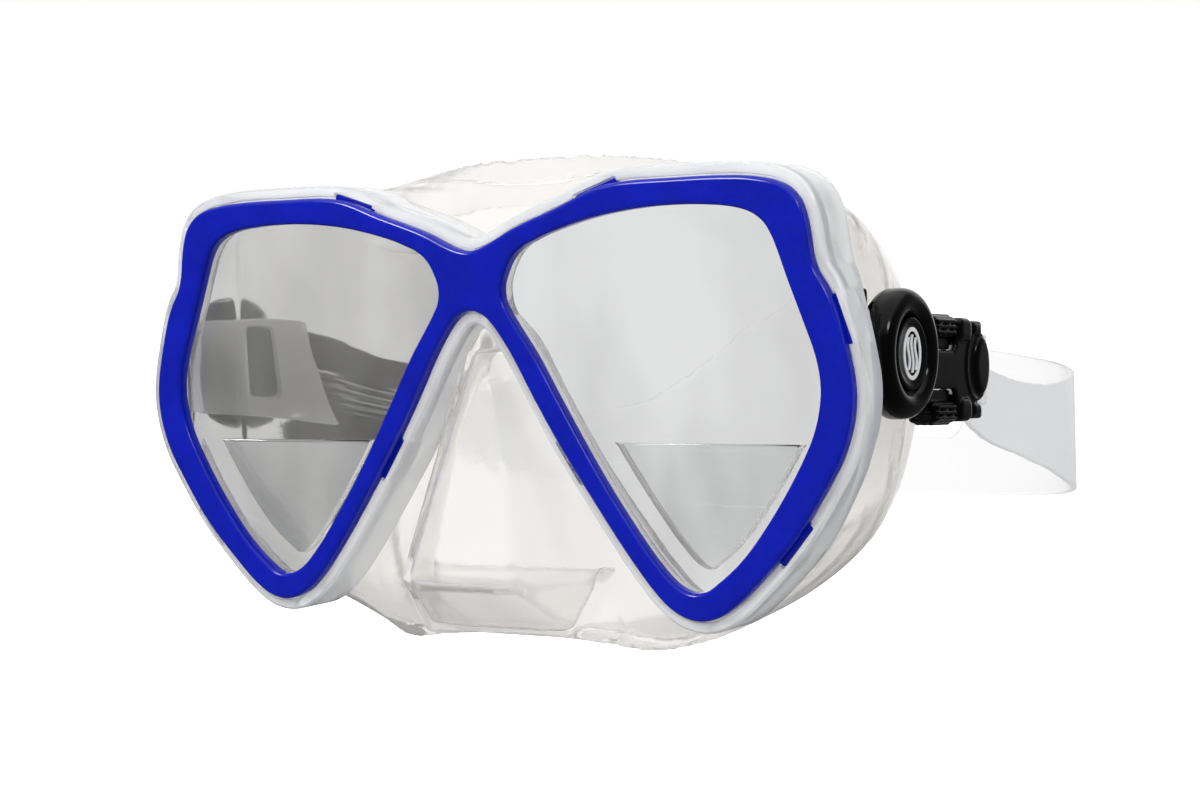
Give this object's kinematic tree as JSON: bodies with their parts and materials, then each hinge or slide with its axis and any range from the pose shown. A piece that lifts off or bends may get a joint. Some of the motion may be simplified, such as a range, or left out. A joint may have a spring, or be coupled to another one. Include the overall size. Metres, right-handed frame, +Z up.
{
  "type": "diving mask",
  "caption": "Two-window diving mask with a clear silicone skirt and nose pocket, a blue bezel and swivelling ratchet buckles on a split strap.",
  "frame": {"origin": "middle of the face opening, straight back from the middle of the bridge, 40 mm behind the lens plane", "axes": "+X to the wearer's left, -Y the way the wearer looks, +Z up"},
  "size_m": [0.1608, 0.1526, 0.0943],
  "materials": {
    "clear_silicone": "soft translucent silicone with a satin surface",
    "clear_plastic": "clear moulded polycarbonate",
    "blue_plastic": "glossy ultramarine blue",
    "lens_glass": "polished tempered glass with a faint green edge",
    "black_plastic": "glossy black moulded plastic",
    "steel": "drawn stainless steel",
    "emblem": "black disc with a silver-grey printed emblem"
  },
  "bodies": {
    "mask": {"skirt": "clear_silicone", "frame": "clear_plastic", "bezel": "blue_plastic", "left_lens": "lens_glass", "left_reader_lens": "lens_glass", "left_buckle_base": "black_plastic", "left_pivot_pin": "steel", "right_lens": "lens_glass", "right_reader_lens": "lens_glass", "right_buckle_base": "black_plastic", "right_pivot_pin": "steel"},
    "left_buckle": {"left_buckle_body": "black_plastic", "left_hub_cap": "emblem", "left_button_spring": "steel", "left_roller_axle": "steel", "left_pawl_pin": "steel", "strap": "clear_silicone"},
    "right_buckle": {"right_buckle_body": "black_plastic", "right_hub_cap": "emblem", "right_button_spring": "steel", "right_roller_axle": "steel", "right_pawl_pin": "steel"},
    "left_upper_button": {"left_upper_button": "black_plastic"},
    "left_lower_button": {"left_lower_button": "black_plastic"},
    "left_pawl": {"left_pawl": "black_plastic"},
    "left_roller": {"left_roller": "black_plastic"},
    "right_upper_button": {"right_upper_button": "black_plastic"},
    "right_lower_button": {"right_lower_button": "black_plastic"},
    "right_pawl": {"right_pawl": "black_plastic"},
    "right_roller": {"right_roller": "black_plastic"}
  },
  "joints": [
    {"name": "left_buckle_swivel", "type": "hinge", "parent": "mask", "child": "left_buckle", "pos_m": [0.0736, -0.0142, 0.0066], "axis": [1, 0, 0], "range_deg": [-20, 35]},
    {"name": "right_buckle_swivel", "type": "hinge", "parent": "mask", "child": "right_buckle", "pos_m": [-0.0736, -0.0142, 0.0066], "axis": [1, 0, 0], "range_deg": [-20, 35]},
    {"name": "left_upper_press", "type": "slide", "parent": "left_buckle", "child": "left_upper_button", "axis": [0, -0.0523, -0.9986], "range_m": [0, 0.002], "stiffness_N_per_m": 700, "springref_m": -0.0012, "deforming": ["left_button_spring"]},
    {"name": "left_lower_press", "type": "slide", "parent": "left_buckle", "child": "left_lower_button", "axis": [0, 0.0523, 0.9986], "range_m": [0, 0.002], "stiffness_N_per_m": 700, "springref_m": -0.0012, "deforming": ["left_button_spring"]},
    {"name": "left_pawl_lift", "type": "hinge", "parent": "left_buckle", "child": "left_pawl", "pos_m": [0.0722, 0.00982, 0.00254], "axis": [0, 0.0523, 0.9986], "range_deg": [0, 10]},
    {"name": "left_roller_spin", "type": "hinge", "parent": "left_buckle", "child": "left_roller", "pos_m": [0.0706, 0.01811, 0.0021], "axis": [0, 0.0523, 0.9986], "continuous": true},
    {"name": "right_upper_press", "type": "slide", "parent": "right_buckle", "child": "right_upper_button", "axis": [0, -0.0523, -0.9986], "range_m": [0, 0.002], "stiffness_N_per_m": 700, "springref_m": -0.0012, "deforming": ["right_button_spring"]},
    {"name": "right_lower_press", "type": "slide", "parent": "right_buckle", "child": "right_lower_button", "axis": [0, 0.0523, 0.9986], "range_m": [0, 0.002], "stiffness_N_per_m": 700, "springref_m": -0.0012, "deforming": ["right_button_spring"]},
    {"name": "right_pawl_lift", "type": "hinge", "parent": "right_buckle", "child": "right_pawl", "pos_m": [-0.0722, 0.00982, 0.00254], "axis": [0, -0.0523, -0.9986], "range_deg": [0, 10]},
    {"name": "right_roller_spin", "type": "hinge", "parent": "right_buckle", "child": "right_roller", "pos_m": [-0.0706, 0.01811, 0.0021], "axis": [0, 0.0523, 0.9986], "continuous": true}
  ],
  "couplings": [
    {"joint": "left_lower_press", "follows": "left_upper_press", "ratio": 1},
    {"joint": "left_pawl_lift", "follows": "left_upper_press", "rad_per_m": 80},
    {"joint": "right_lower_press", "follows": "right_upper_press", "ratio": 1},
    {"joint": "right_pawl_lift", "follows": "right_upper_press", "rad_per_m": 80},
    {"joint": "right_buckle_swivel", "follows": "left_buckle_swivel", "ratio": 1}
  ]
}
